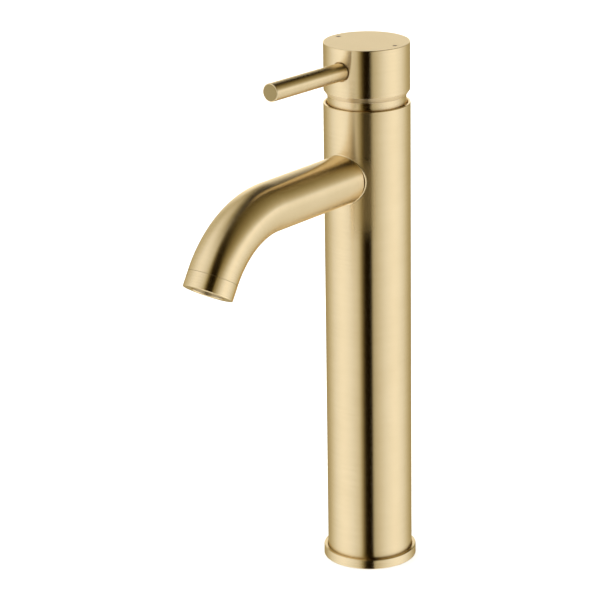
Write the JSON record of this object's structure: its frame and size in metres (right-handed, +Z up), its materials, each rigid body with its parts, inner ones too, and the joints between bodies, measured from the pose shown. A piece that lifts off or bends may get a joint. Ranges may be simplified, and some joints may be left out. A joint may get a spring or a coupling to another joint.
{
  "type": "basin mixer faucet",
  "caption": "Tall single-lever basin mixer in brushed brass: round column on a flat base ring, tube spout bent down at its end, round handle on top with a pin lever.",
  "frame": {"origin": "centre of the base where it meets the worktop", "axes": "+Z up the column; -Y the way the spout and the lever point, towards the user; +X towards the cold side"},
  "size_m": [0.0526, 0.1768, 0.3015],
  "materials": {
    "brushed_brass": "brushed satin, warm champagne gold",
    "raw_brass": "machined, unplated",
    "steel": "satin stainless",
    "rubber": "moulded black",
    "white_plastic": "moulded off-white",
    "grey_plastic": "moulded grey",
    "ceramic": "lapped alumina ceramic",
    "dark_enamel": "dark fill in an engraved dot"
  },
  "bodies": {
    "body": {"base_ring": "brushed_brass", "base_gasket": "rubber", "base_plate": "raw_brass", "body_column": "brushed_brass", "valve_manifold": "raw_brass", "hot_supply_tube": "raw_brass", "cold_supply_tube": "raw_brass", "hot_tube_seal": "rubber", "cold_tube_seal": "rubber", "outlet_nipple": "raw_brass", "nipple_seal": "rubber", "spout_tube": "brushed_brass", "aerator_housing": "brushed_brass", "aerator_insert": "grey_plastic", "aerator_washer": "rubber", "hot_port_seal": "rubber", "cold_port_seal": "rubber", "outlet_port_seal": "rubber", "cartridge_base": "white_plastic", "fixed_ceramic_disc": "ceramic", "cartridge_housing": "grey_plastic", "thrust_washer": "white_plastic", "retaining_nut": "raw_brass"},
    "rotor": {"stem_holder": "grey_plastic", "stem_pin": "steel"},
    "handle": {"handle_cap": "brushed_brass", "lever_rod": "brushed_brass", "grub_screw": "steel", "stem": "raw_brass", "hot_mark": "dark_enamel", "cold_mark": "dark_enamel"},
    "sliding_disc": {"moving_ceramic_disc": "ceramic", "disc_carrier": "grey_plastic"}
  },
  "joints": [
    {"name": "temperature", "type": "hinge", "parent": "body", "child": "rotor", "pos_m": [0, 0, 0.2696], "axis": [0, 0, 1], "range_deg": [-45, 45]},
    {"name": "flow", "type": "hinge", "parent": "rotor", "child": "handle", "pos_m": [0, 0, 0.2696], "axis": [-1, 0, 0], "range_deg": [0, 14]},
    {"name": "disc_slide", "type": "slide", "parent": "rotor", "child": "sliding_disc", "axis": [0, -1, 0], "range_m": [0, 0.0036]}
  ],
  "couplings": [
    {"joint": "disc_slide", "follows": "flow", "m_per_rad": 0.0145}
  ]
}
